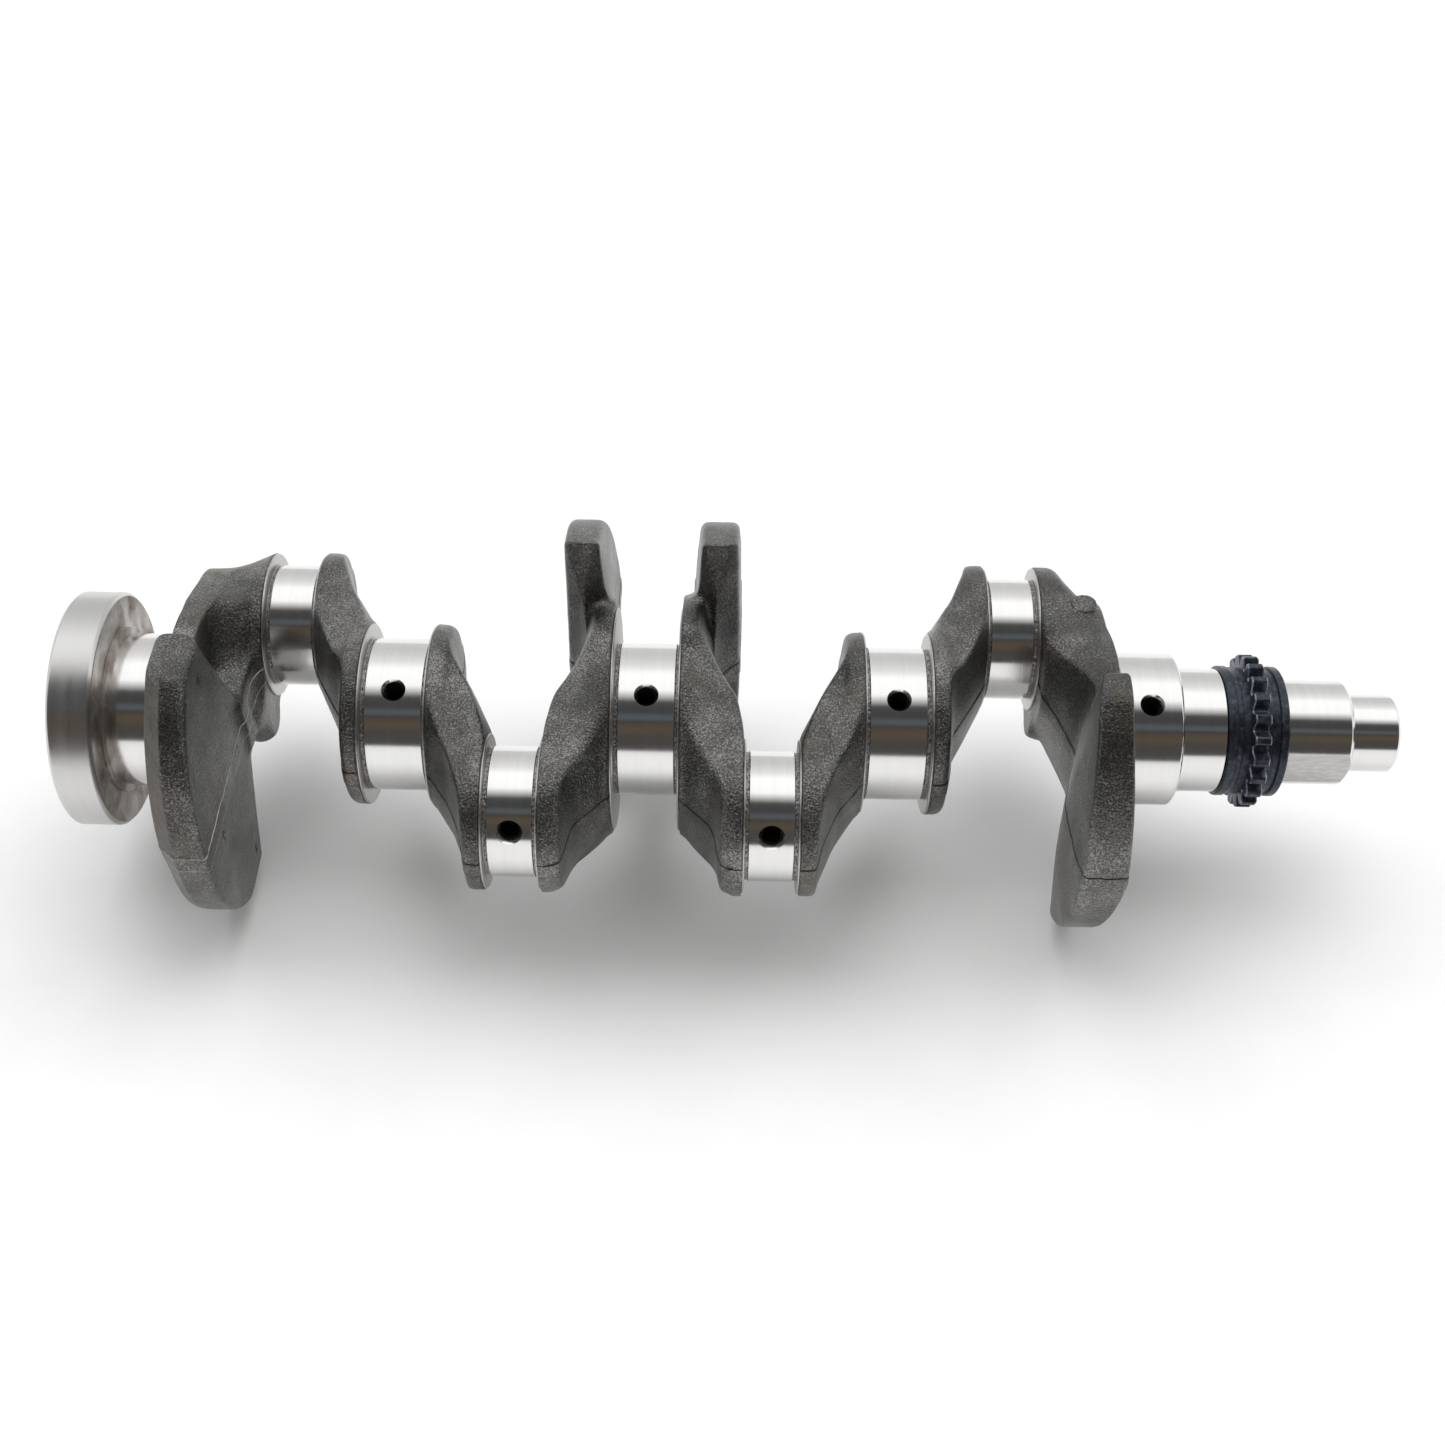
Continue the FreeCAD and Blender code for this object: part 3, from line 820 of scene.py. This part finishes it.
def build_sprocket(materials):
    """Black chain sprocket: collars, drum and one row of short teeth."""
    x0 = node_box("sprocket_rear_collar")[0][0]
    x1 = node_box("timing_sprocket")[0][0]
    (x2, _, _), (x3, _, _) = node_box("sprocket_front_collar")
    drum_r, bore_r = 22.8, SEAT_R
    profile = [
        (x0, bore_r, 0), (x0, COLLAR_R - 0.5, 0), (x0 + 0.5, COLLAR_R, 0),
        (x1 - 0.3, COLLAR_R, 0), (x1, COLLAR_R - 0.3, 0), (x1, drum_r, 0),
        (x1 + 1.9, drum_r, 0), (x1 + 2.1, drum_r + 0.35, 0), (x2 - 2.1, drum_r + 0.35, 0),
        (x2 - 1.9, drum_r, 0), (x2, drum_r, 0),
        (x2, COLLAR_R - 0.3, 0), (x2 + 0.3, COLLAR_R, 0),
        (x3 - 0.5, COLLAR_R, 0), (x3, COLLAR_R - 0.5, 0), (x3, bore_r, 0),
    ]
    drum = turned_mesh("sprocket_drum", profile, 0.0, materials, 0.2)
    true_round_normals(drum, 0.0)
    add_piece(drum, ["sprocket_rear_collar", "sprocket_front_collar"])

    tooth_low, tooth_high = x1 + 4.9, x2 - 4.5
    tip_r, root_r, count = 28.1, 24.4, 22
    step = 2 * math.pi / count
    root_half, tip_half = 0.13 * step, 0.19 * step
    outline = []
    for index in range(count):
        middle = step * (index + 0.5)
        for share in (-1.0, -0.6, 0.6, 1.0):
            r = tip_r - (0.35 if abs(share) == 1 else 0)
            outline.append((r, middle + share * tip_half))
        gap = step * (index + 1)
        for share in (-1.0, -0.4, 0.4, 1.0):
            r = root_r - (0 if abs(share) == 1 else 0.3)
            outline.append((r, gap + share * root_half))
    n = len(outline)
    rings = [(tooth_low, -0.5), (tooth_low + 0.5, 0), (tooth_high - 0.5, 0), (tooth_high, -0.5)]
    points = [
        (x, (r + inset) * math.cos(a), (r + inset) * math.sin(a))
        for x, inset in rings for r, a in outline
    ]
    faces, skins = [], []
    for row, skin in enumerate((1, 0, 1)):
        for k in range(n):
            m = (k + 1) % n
            faces.append((row * n + k, row * n + m, row * n + n + m, row * n + n + k))
        skins += [skin] * n
    faces.append(tuple(range(n - 1, -1, -1)))
    faces.append(tuple(range(3 * n, 4 * n)))
    teeth = mesh_object("sprocket_teeth", points, faces, materials, skins + [0, 0])
    teeth.data.set_sharp_from_angle(angle=math.radians(28))
    add_piece(teeth, ["timing_sprocket"])


# -------- materials

class Nodes:
    """Small helper for building the nodes of a material or a world."""

    def __init__(self, tree):
        self.nodes = tree.nodes
        self.links = tree.links

    def link(self, value, target):
        """Sets a socket to a number or a colour, or joins another socket to it."""
        if isinstance(value, (int, float)):
            target.default_value = value
        elif isinstance(value, tuple):
            target.default_value = (*value, 1)
        else:
            self.links.new(value, target)

    def maths(self, operation, *values):
        """Math node on sockets or numbers."""
        node = self.nodes.new("ShaderNodeMath")
        node.operation = operation
        for value, socket in zip(values, node.inputs):
            self.link(value, socket)
        return node.outputs[0]

    def axes(self, vector):
        """The coordinates of a vector, by their names."""
        node = self.nodes.new("ShaderNodeSeparateXYZ")
        self.link(vector, node.inputs[0])
        return node.outputs

    def ramp(self, value, stops):
        """Colour ramp of (position, colour) stops."""
        node = self.nodes.new("ShaderNodeValToRGB")
        elements = node.color_ramp.elements
        while len(elements) < len(stops):
            elements.new(0.5)
        for element, (position, colour) in zip(elements, stops):
            element.position = position
            element.color = (*colour, 1)
        self.link(value, node.inputs["Fac"])
        return node.outputs["Color"]

    def span(self, value, low, high, to_low, to_high):
        """Maps a value from one span onto another, held at the ends."""
        node = self.nodes.new("ShaderNodeMapRange")
        for index, number in enumerate((low, high, to_low, to_high), 1):
            node.inputs[index].default_value = number
        self.link(value, node.inputs[0])
        return node.outputs[0]


class Shader(Nodes):
    """Small helper for building one node material."""

    def __init__(self, name):
        self.material = bpy.data.materials.new(name)
        self.material.use_nodes = True
        super().__init__(self.material.node_tree)
        self.surface = self.nodes["Principled BSDF"]
        self.place = self.nodes.new("ShaderNodeTexCoord").outputs["Object"]

    def stretched(self, scale, offset=(0, 0, 0)):
        """Object coordinates stretched by a scale for each axis."""
        node = self.nodes.new("ShaderNodeMapping")
        node.inputs["Scale"].default_value = scale
        node.inputs["Location"].default_value = offset
        self.link(self.place, node.inputs["Vector"])
        return node.outputs["Vector"]

    def noise(self, vector, scale, detail=3.0, roughness=0.55, distortion=0.0):
        """Noise texture's value."""
        node = self.nodes.new("ShaderNodeTexNoise")
        node.inputs["Scale"].default_value = scale
        node.inputs["Detail"].default_value = detail
        node.inputs["Roughness"].default_value = roughness
        node.inputs["Distortion"].default_value = distortion
        self.link(vector, node.inputs["Vector"])
        return node.outputs["Fac"]

    def cells(self, vector, scale):
        """Voronoi texture's distance to the nearest cell centre."""
        node = self.nodes.new("ShaderNodeTexVoronoi")
        node.inputs["Scale"].default_value = scale
        self.link(vector, node.inputs["Vector"])
        return node.outputs["Distance"]

    def mix(self, share, a, b):
        """Mixes two colours."""
        node = self.nodes.new("ShaderNodeMix")
        node.data_type = "RGBA"
        for index, value in ((0, share), (6, a), (7, b)):
            self.link(value, node.inputs[index])
        return node.outputs[2]

    def bump(self, height, distance, below=None):
        """Bump node; distance is in metres and below is the normal it builds on."""
        node = self.nodes.new("ShaderNodeBump")
        node.inputs["Distance"].default_value = distance
        self.link(height, node.inputs["Height"])
        if below is not None:
            self.link(below, node.inputs["Normal"])
        return node.outputs["Normal"]

    def finished(self, colour, metallic, roughness, normal):
        """Joins the results to the surface and gives the material."""
        self.link(colour, self.surface.inputs["Base Color"])
        self.surface.inputs["Metallic"].default_value = metallic
        self.link(roughness, self.surface.inputs["Roughness"])
        self.link(normal, self.surface.inputs["Normal"])
        return self.material


def ground_steel(name, roughness, line_bump, tint=(0.80, 0.795, 0.785)):
    """Steel ground on a lathe: fine lines round the axis and faint colour bands."""
    s = Shader(name)
    lines = s.noise(s.stretched((1, 0.012, 0.012)), 2600, 4, 0.7)
    bands = s.noise(s.stretched((1, 0.03, 0.03)), 420, 3, 0.6)
    stains = s.noise(s.stretched((0.5, 1, 1)), 46, 4, 0.6)
    tone = s.maths("MULTIPLY_ADD", bands, 0.5, s.maths("MULTIPLY", lines, 0.5))
    colour = s.ramp(tone, [(0.3, tuple(0.93 * c for c in tint)), (0.62, tint)])
    brown = s.span(stains, 0.55, 0.75, 0.0, 0.35)
    colour = s.mix(brown, colour, tuple(c * k for c, k in zip(tint, (0.86, 0.80, 0.75))))
    rough = s.span(s.maths("ADD", bands, stains), 0.7, 1.3, roughness * 0.9, roughness * 1.15)
    return s.finished(colour, 1.0, rough, s.bump(lines, line_bump))


def machined_face(name):
    """Turned faces: rings round the axis, with brown stains of old oil."""
    s = Shader(name)
    axes = s.axes(s.place)
    squared = s.maths("MULTIPLY", axes["Z"], axes["Z"])
    radius = s.maths("POWER", s.maths("MULTIPLY_ADD", axes["Y"], axes["Y"], squared), 0.5)
    merged = s.nodes.new("ShaderNodeCombineXYZ")
    s.link(radius, merged.inputs["X"])
    rings = s.noise(merged.outputs[0], 1500, 3, 0.6)
    stains = s.noise(s.place, 70, 5, 0.62, 0.6)
    colour = s.ramp(stains, [
        (0.36, (0.60, 0.59, 0.57)), (0.52, (0.44, 0.40, 0.36)), (0.68, (0.24, 0.20, 0.17)),
    ])
    rough = s.span(stains, 0.3, 0.7, 0.34, 0.52)
    return s.finished(colour, 0.95, rough, s.bump(rings, 0.00004))


def cheek_face(name):
    """Narrow ground faces beside the journals."""
    s = Shader(name)
    grain = s.noise(s.stretched((0.2, 1, 1)), 900, 3, 0.6)
    colour = s.ramp(grain, [(0.3, (0.42, 0.415, 0.40)), (0.7, (0.60, 0.59, 0.575))])
    rough = s.span(grain, 0.3, 0.7, 0.28, 0.42)
    return s.finished(colour, 1.0, rough, s.bump(grain, 0.00002))


def rolled_groove(name):
    """Groove beside a journal, with the small marks that the rolling wheel leaves."""
    s = Shader(name)
    marks = s.cells(s.stretched((1.6, 1, 1)), 900)
    grain = s.noise(s.place, 1400, 2, 0.5)
    colour = s.ramp(marks, [(0.2, (0.10, 0.095, 0.09)), (0.75, (0.42, 0.41, 0.40))])
    rough = s.span(grain, 0.3, 0.7, 0.35, 0.5)
    return s.finished(colour, 0.9, rough, s.bump(marks, 0.00025))


def hole_wall(name):
    """Near-black walls of the drilled holes."""
    s = Shader(name)
    grain = s.noise(s.place, 800, 3, 0.6)
    colour = s.ramp(grain, [(0.3, (0.012, 0.011, 0.010)), (0.7, (0.035, 0.032, 0.03))])
    rough = s.span(grain, 0.3, 0.7, 0.45, 0.6)
    return s.finished(colour, 0.3, rough, s.bump(grain, 0.0001))


def forged_steel(name, painted_line_colour):
    """Shot-blasted forging: coarse sparkling grain, brown and grey patches, and painted flash
    lines: painted shadow lines when the line colour is dark, painted highlight lines when it is
    bright.
    """
    s = Shader(name)
    dents = s.cells(s.place, 1100)
    grain = s.noise(s.place, 1600, 2, 0.6)
    lumps = s.noise(s.place, 420, 2, 0.5)
    patches = s.noise(s.place, 34, 4, 0.6, 0.4)
    tints = s.noise(s.stretched((1, 1, 1), (0.4, 0.1, 0.7)), 52, 3, 0.6)
    tone = s.maths("MULTIPLY_ADD", grain, 0.6, s.maths("MULTIPLY", patches, 0.4))
    colour = s.ramp(tone, [
        (0.34, (0.045, 0.044, 0.042)), (0.5, (0.11, 0.108, 0.104)), (0.63, (0.34, 0.335, 0.32)),
    ])
    warm = s.span(tints, 0.54, 0.74, 0.0, 0.45)
    colour = s.mix(warm, colour, (0.15, 0.12, 0.09))
    wander = s.maths("MULTIPLY", s.maths("SUBTRACT", s.noise(s.place, 120, 2), 0.5), 0.0016)
    height = s.maths("ADD", s.axes(s.place)["Z"], wander)
    upper = s.maths("ABSOLUTE", s.maths("SUBTRACT", height, FLASH_TOP * MM))
    lower = s.maths("ABSOLUTE", s.maths("SUBTRACT", height, FLASH_BOTTOM * MM))
    # Thin lines at the two flash edges, painted in the line colour: a dark colour paints shadow
    # lines, a bright one paints highlight lines.
    upper_painted_line = s.span(upper, 0.00016, 0.00044, 0.8, 0.0)
    lower_painted_line = s.span(lower, 0.00012, 0.0004, 0.5, 0.0)
    colour = s.mix(s.maths("ADD", upper_painted_line, lower_painted_line), colour, painted_line_colour)
    soft = 0.0002
    step = s.span(height, FLASH_TOP * MM - soft, FLASH_TOP * MM + soft, 1.0, 0.0)
    foot = s.span(height, FLASH_BOTTOM * MM - soft, FLASH_BOTTOM * MM + soft, 0.0, 1.0)
    normal = s.bump(lumps, 0.00013)
    normal = s.bump(dents, 0.00016, normal)
    normal = s.bump(grain, 0.00024, normal)
    normal = s.bump(s.maths("MULTIPLY", step, foot), 0.0003, normal)
    return s.finished(colour, 0.90, s.span(grain, 0.3, 0.7, 0.28, 0.42), normal)


def trimmed_steel(name):
    """Strip where the forging was trimmed: smoother, brown-grey, with a fine grain."""
    s = Shader(name)
    grain = s.noise(s.place, 700, 4, 0.6)
    patches = s.noise(s.place, 60, 3, 0.6)
    tone = s.maths("MULTIPLY_ADD", grain, 0.5, s.maths("MULTIPLY", patches, 0.5))
    colour = s.ramp(tone, [(0.35, (0.065, 0.058, 0.051)), (0.65, (0.165, 0.152, 0.136))])
    rough = s.span(grain, 0.3, 0.7, 0.38, 0.52)
    return s.finished(colour, 0.85, rough, s.bump(grain, 0.00010))


def black_oxide(name, shine=1.0):
    """Blue-black oxide on machined steel; a higher shine is more worn."""
    s = Shader(name)
    lines = s.noise(s.stretched((1, 0.02, 0.02)), 1800, 3, 0.6)
    wear = s.noise(s.place, 520, 4, 0.6)
    tones = [(0.35, (0.022, 0.026, 0.034)), (0.6, (0.05, 0.058, 0.074)), (0.8, (0.16, 0.165, 0.18))]
    colour = s.ramp(wear, [(place, tuple(shine * c for c in tone)) for place, tone in tones])
    rough = s.span(wear, 0.3, 0.7, 0.26, 0.42)
    return s.finished(colour, 0.75, rough, s.bump(lines, 0.00004))


def studio_floor(name):
    """Plain pale paper."""
    s = Shader(name)
    grain = s.noise(s.place, 30, 3)
    s.link(s.ramp(grain, [(0.3, (0.76, 0.76, 0.76)), (0.7, (0.78, 0.78, 0.78))]),
           s.surface.inputs["Base Color"])
    s.surface.inputs["Roughness"].default_value = 0.9
    s.surface.inputs["Specular IOR Level"].default_value = 0.1
    return s.material


# -------- studio

def add_floor():
    """Large pale floor under the crank's lowest points."""
    low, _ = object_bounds()
    half = 3000.0
    level = low[2] / MM - 0.05
    steps = 12
    line = np.linspace(-half, half, steps)
    points = [(x, y, level) for y in line for x in line]
    corners = [j * steps + i for j in range(steps - 1) for i in range(steps - 1)]
    faces = [(c, c + 1, c + steps + 1, c + steps) for c in corners]
    floor = mesh_object("studio_floor", points, faces, [studio_floor("pale floor")])
    floor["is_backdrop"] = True


def set_place(thing, right, up, back, place):
    """Puts an object at a place in metres with its own axes along the three directions."""
    lie = Matrix.Identity(4)
    for row in range(3):
        lie[row][0], lie[row][1], lie[row][2] = right[row], up[row], back[row]
        lie[row][3] = place[row]
    thing.matrix_world = lie
    bpy.context.scene.collection.objects.link(thing)


def add_area_light(name, place, size, power):
    """Soft box that faces the crank and shows in no reflection; all in metres and watts."""
    light = bpy.data.lights.new(name, "AREA")
    light.shape = "RECTANGLE"
    light.size, light.size_y = size
    light.energy = power
    lamp = bpy.data.objects.new(name, light)
    back = np.array(place, float) / np.linalg.norm(place)
    right = np.cross((0, 1, 0), back)
    right /= np.linalg.norm(right)
    set_place(lamp, right, np.cross(back, right), back, place)
    lamp.visible_glossy = False
    lamp.visible_camera = False


def add_world():
    """Studio surroundings: bright above and behind, dark in front from the floor up."""
    world = bpy.data.worlds.new("studio")
    bpy.context.scene.world = world
    world.use_nodes = True
    world.node_tree.nodes.clear()
    s = Nodes(world.node_tree)
    way = s.axes(s.nodes.new("ShaderNodeTexCoord").outputs["Generated"])
    angle = s.maths("ARCTAN2", way["Z"], s.maths("MULTIPLY", way["Y"], -1.0))
    # Turn about X in degrees from the front (0) over the top (90) to the back (180), then how
    # bright and how warm the surroundings are there
    levels = [
        (-180, 0.74, 0), (-178, 0.6, 0), (-90, 0.5, 0), (-4, 0.7, 0), (1, 0.07, 0),
        (22, 0.07, 0.1), (30, 0.085, 0.3), (40, 0.075, 0.3), (44, 0.05, 0), (48, 0.12, -0.1),
        (52, 0.12, -0.1), (58, 0.06, 0), (74, 0.07, 0), (84, 0.7, 0), (92, 1.25, 0),
        (120, 1.30, 0), (134, 0.95, 0), (150, 0.78, 0), (165, 0.70, 0), (180, 0.74, 0),
    ]
    stops = [
        ((turn + 180) / 360, (level * (1 + warmth), level, level * (1 - warmth)))
        for turn, level, warmth in levels
    ]
    lit = s.nodes.new("ShaderNodeBackground")
    s.link(s.ramp(s.span(angle, -math.pi, math.pi, 0.0, 1.0), stops), lit.inputs["Color"])
    seen = s.nodes.new("ShaderNodeBackground")
    seen.inputs["Color"].default_value = (0.90, 0.90, 0.90, 1)
    pick = s.nodes.new("ShaderNodeMixShader")
    s.link(s.nodes.new("ShaderNodeLightPath").outputs["Is Camera Ray"], pick.inputs[0])
    s.link(lit.outputs[0], pick.inputs[1])
    s.link(seen.outputs[0], pick.inputs[2])
    s.link(pick.outputs[0], s.nodes.new("ShaderNodeOutputWorld").inputs["Surface"])


def add_camera():
    """Camera in front of the crank and about 48 degrees above it, placed in millimetres."""
    elevation, yaw, roll = math.radians(48.2), math.radians(0.222), math.radians(0.979)
    distance, aim_x, aim_up = 691.0, 27.24, -0.763
    back = np.array([math.sin(yaw) * math.cos(elevation),
                     -math.cos(yaw) * math.cos(elevation), math.sin(elevation)])
    right = np.array([math.cos(yaw), math.sin(yaw), 0])
    up = np.cross(back, right)
    place = np.array([aim_x, 0, 0]) + aim_up * up + back * distance
    tilted_right = math.cos(roll) * right + math.sin(roll) * up
    tilted_up = -math.sin(roll) * right + math.cos(roll) * up
    data = bpy.data.cameras.new("camera")
    data.sensor_width = 36.0
    data.lens = 46.58
    data.clip_start, data.clip_end = 0.01, 20
    camera = bpy.data.objects.new("camera", data)
    set_place(camera, tilted_right, tilted_up, back, place * MM)
    bpy.context.scene.camera = camera


def main():
    """Builds every piece, the studio and the camera."""
    # Forged steel with dark flash lines: painted shadow lines, for webs 1 to 7.
    forged = forged_steel("forged steel", (0.03, 0.028, 0.026))
    # The same forged steel with its flash lines painted bright: painted highlight lines, for web 8.
    painted_highlight_steel = forged_steel("forged steel with painted highlight lines", (0.62, 0.60, 0.56))
    trimmed = trimmed_steel("trimmed forging edge")
    journal_skins = [
        # Near-black walls for the drilled holes.
        ground_steel("ground steel", 0.13, 0.000010), hole_wall("near-black hole wall"),
        cheek_face("ground cheek"), rolled_groove("rolled groove"),
    ]
    flange_skins = [
        ground_steel("brushed flange steel", 0.30, 0.000016, (0.64, 0.635, 0.625)),
        journal_skins[HOLE], machined_face("machined face"), machined_face("edge"),
    ]
    for number in range(1, 9):
        build_web(number, [painted_highlight_steel, trimmed] if number == 8 else [forged])
    for number in range(1, 6):
        build_main(number, journal_skins)
    for number in range(1, 5):
        build_pin(number, journal_skins)
    build_flange(flange_skins)
    build_snout(journal_skins)
    build_sprocket([black_oxide("black oxide"), black_oxide("worn black oxide", 5.0)])
    add_floor()
    add_area_light("overhead softbox", (0.0, 0.5, 1.9), (3.0, 2.0), 42)
    add_area_light("front fill", (-0.6, -2.2, 1.3), (3.0, 1.6), 18)
    add_world()
    add_camera()
    bpy.context.scene.view_settings.view_transform = "Standard"


main()
